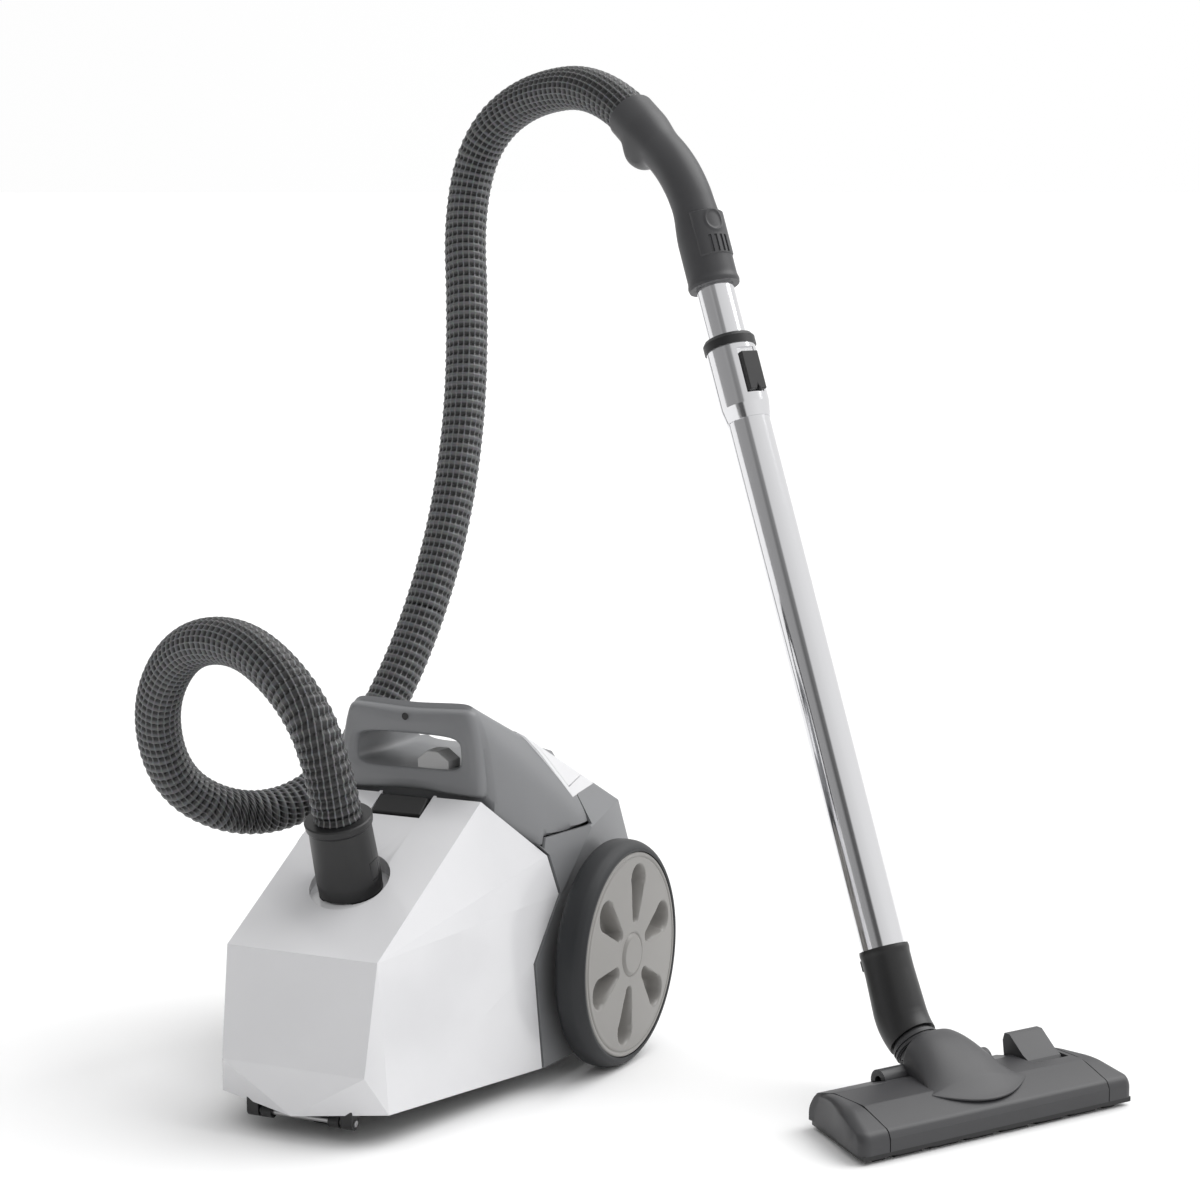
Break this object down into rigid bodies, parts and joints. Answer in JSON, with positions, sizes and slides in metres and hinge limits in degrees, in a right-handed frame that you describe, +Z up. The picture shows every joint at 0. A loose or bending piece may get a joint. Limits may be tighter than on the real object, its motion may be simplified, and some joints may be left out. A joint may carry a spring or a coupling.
{
  "type": "canister vacuum cleaner",
  "caption": "canister vacuum cleaner with a faceted lid, big rear wheels, corrugated hose, telescopic chrome wand and floor head",
  "frame": {"origin": "on the floor, under the middle of the whole object without its hose", "axes": "Z up; the canister's front faces -Y and its wheel axle lies along X"},
  "size_m": [0.8026, 0.6118, 0.8094],
  "materials": {
    "white_gloss": "gloss moulded ABS",
    "mid_grey": "satin moulded ABS, mid grey",
    "light_grey": "satin moulded ABS, light grey",
    "hub_grey": "satin moulded plastic with a warm grey tint",
    "black_plastic": "matt black moulded plastic",
    "dark_grey": "matt dark grey moulded plastic",
    "tyre_rubber": "matt black rubber",
    "soft_rubber": "black rubber",
    "chrome_tube": "polished chromed steel",
    "steel": "plain turned steel",
    "hose_skin": "dark corrugated flexible plastic",
    "bag_fleece": "fleece dust bag",
    "filter_foam": "filter fleece",
    "bristle": "bristle strip",
    "board_green": "circuit board"
  },
  "bodies": {
    "root": {"base_pan": "black_plastic", "lid_hinge_pin": "steel", "carry_handle": "mid_grey", "rear_casing": "mid_grey", "rear_cover": "white_gloss", "handle_screw": "steel", "cord_rewind_spring": "steel", "power_spring": "steel", "bulkhead": "black_plastic", "motor_filter": "filter_foam", "motor": "steel", "motor_mounts": "soft_rubber", "reel_pin": "steel", "circuit_board": "board_green", "exhaust_grille": "mid_grey", "exhaust_filter": "filter_foam", "cord_outlet": "black_plastic", "bag_holder": "black_plastic", "dust_bag": "bag_fleece", "wheel_axles": "steel", "head_shell": "dark_grey", "head_end_caps": "dark_grey", "neck_cover": "dark_grey", "sole_plate": "dark_grey", "neck_axle": "steel", "hose": "hose_skin"},
    "lid": {"lid": "white_gloss", "inlet_socket": "black_plastic", "inlet_gasket": "soft_rubber"},
    "latch": {"lid_latch": "black_plastic"},
    "connector": {"hose_connector": "black_plastic"},
    "connector_button_l": {"connector_button_left": "black_plastic"},
    "connector_button_r": {"connector_button_right": "black_plastic"},
    "slider_knob": {"suction_slider_knob": "light_grey"},
    "power_button": {"power_pedal": "white_gloss"},
    "rewind_button": {"cord_rewind_pedal": "white_gloss"},
    "fan": {"fan": "black_plastic"},
    "reel": {"cord_reel": "black_plastic"},
    "left_wheel": {"left_tyre": "tyre_rubber", "left_hub": "hub_grey", "left_hub_cap": "hub_grey"},
    "right_wheel": {"right_tyre": "tyre_rubber", "right_hub": "hub_grey", "right_hub_cap": "hub_grey"},
    "caster": {"caster_fork": "black_plastic", "caster_pin": "steel"},
    "caster_wheel": {"caster_roller": "black_plastic"},
    "neck": {"neck": "dark_grey"},
    "wand": {"elbow_cuff": "dark_grey", "outer_tube": "chrome_tube", "tube_collar": "chrome_tube", "collar_ring": "black_plastic"},
    "clip": {"cuff_clip": "black_plastic"},
    "wand_button": {"telescope_button": "black_plastic"},
    "handle": {"inner_tube": "chrome_tube", "grip": "dark_grey"},
    "air_slider": {"suction_slider": "dark_grey"},
    "brush": {"brush_strips": "bristle"},
    "foot_pedal": {"head_pedal": "dark_grey"}
  },
  "joints": [
    {"name": "lid_hinge", "type": "hinge", "parent": "root", "child": "lid", "pos_m": [-0.19705, -0.24073, 0.016], "axis": [1, 0, 0], "range_deg": [0, 65], "deforming": ["hose"]},
    {"name": "latch_hinge", "type": "hinge", "parent": "lid", "child": "latch", "pos_m": [-0.19705, -0.09173, 0.2145], "axis": [1, 0, 0], "range_deg": [0, 14], "stiffness_Nm_per_rad": 0.15, "springref_deg": -17.19},
    {"name": "connector_turn", "type": "hinge", "parent": "lid", "child": "connector", "pos_m": [-0.19705, -0.16673, 0.181], "axis": [0, -0.2924, 0.9563], "continuous": true},
    {"name": "connector_button_left_press", "type": "slide", "parent": "connector", "child": "connector_button_l", "axis": [-1, 0, 0], "range_m": [0, 0.0015], "stiffness_N_per_m": 600, "springref_m": -0.001},
    {"name": "connector_button_right_press", "type": "slide", "parent": "connector", "child": "connector_button_r", "axis": [1, 0, 0], "range_m": [0, 0.0015], "stiffness_N_per_m": 600, "springref_m": -0.001},
    {"name": "suction_slide", "type": "slide", "parent": "root", "child": "slider_knob", "axis": [1, 0, 0], "range_m": [-0.036, 0.006]},
    {"name": "power_press", "type": "slide", "parent": "root", "child": "power_button", "axis": [0, 0, -1], "range_m": [0, 0.004], "stiffness_N_per_m": 500, "springref_m": -0.004, "deforming": ["power_spring"]},
    {"name": "rewind_press", "type": "slide", "parent": "root", "child": "rewind_button", "axis": [0, 0, -1], "range_m": [0, 0.004], "stiffness_N_per_m": 500, "springref_m": -0.004, "deforming": ["cord_rewind_spring"]},
    {"name": "fan_spin", "type": "hinge", "parent": "root", "child": "fan", "pos_m": [-0.28505, 0.06127, 0.096], "axis": [1, 0, 0], "continuous": true},
    {"name": "reel_spin", "type": "hinge", "parent": "root", "child": "reel", "pos_m": [-0.17105, 0.06127, 0.092], "axis": [1, 0, 0], "continuous": true},
    {"name": "left_wheel_roll", "type": "hinge", "parent": "root", "child": "left_wheel", "pos_m": [-0.31455, 0.03527, 0.0925], "axis": [1, 0, 0], "continuous": true},
    {"name": "right_wheel_roll", "type": "hinge", "parent": "root", "child": "right_wheel", "pos_m": [-0.07955, 0.03527, 0.0925], "axis": [1, 0, 0], "continuous": true},
    {"name": "caster_swivel", "type": "hinge", "parent": "root", "child": "caster", "pos_m": [-0.19705, -0.19273, 0.024], "axis": [0, 0, 1], "continuous": true},
    {"name": "caster_roll", "type": "hinge", "parent": "caster", "child": "caster_wheel", "pos_m": [-0.19705, -0.20473, 0.01], "axis": [1, 0, 0], "continuous": true},
    {"name": "neck_tilt", "type": "hinge", "parent": "root", "child": "neck", "pos_m": [0.20539, 0.03306, 0.031], "axis": [-0.4939, -0.8695, 0], "range_deg": [-8, 25], "deforming": ["hose"]},
    {"name": "wand_swivel", "type": "hinge", "parent": "neck", "child": "wand", "pos_m": [0.18483, 0.04474, 0.04947], "axis": [-0.6852, 0.3892, 0.6157], "range_deg": [-25, 25], "deforming": ["hose"]},
    {"name": "cuff_clip_press", "type": "slide", "parent": "wand", "child": "clip", "axis": [0.7937, -0.4509, 0.4083], "range_m": [0, 0.001], "stiffness_N_per_m": 600, "springref_m": -0.001},
    {"name": "telescope_slide", "type": "slide", "parent": "wand", "child": "handle", "axis": [-0.355, 0.2017, 0.9128], "range_m": [0, 0.33], "deforming": ["hose"]},
    {"name": "telescope_button_slide", "type": "slide", "parent": "wand", "child": "wand_button", "axis": [-0.355, 0.2017, 0.9128], "range_m": [0, 0.004], "stiffness_N_per_m": 500, "springref_m": -0.001},
    {"name": "air_slider_slide", "type": "slide", "parent": "handle", "child": "air_slider", "axis": [-0.355, 0.2017, 0.9128], "range_m": [-0.005, 0.005]},
    {"name": "foot_pedal_rock", "type": "hinge", "parent": "root", "child": "foot_pedal", "pos_m": [0.26749, 0.09784, 0.028], "axis": [-0.4939, -0.8695, 0], "range_deg": [0, 16]},
    {"name": "brush_drop", "type": "slide", "parent": "root", "child": "brush", "axis": [0, 0, -1], "range_m": [0, 0.005]}
  ],
  "couplings": [
    {"joint": "brush_drop", "follows": "foot_pedal_rock", "m_per_rad": 0.017895}
  ]
}
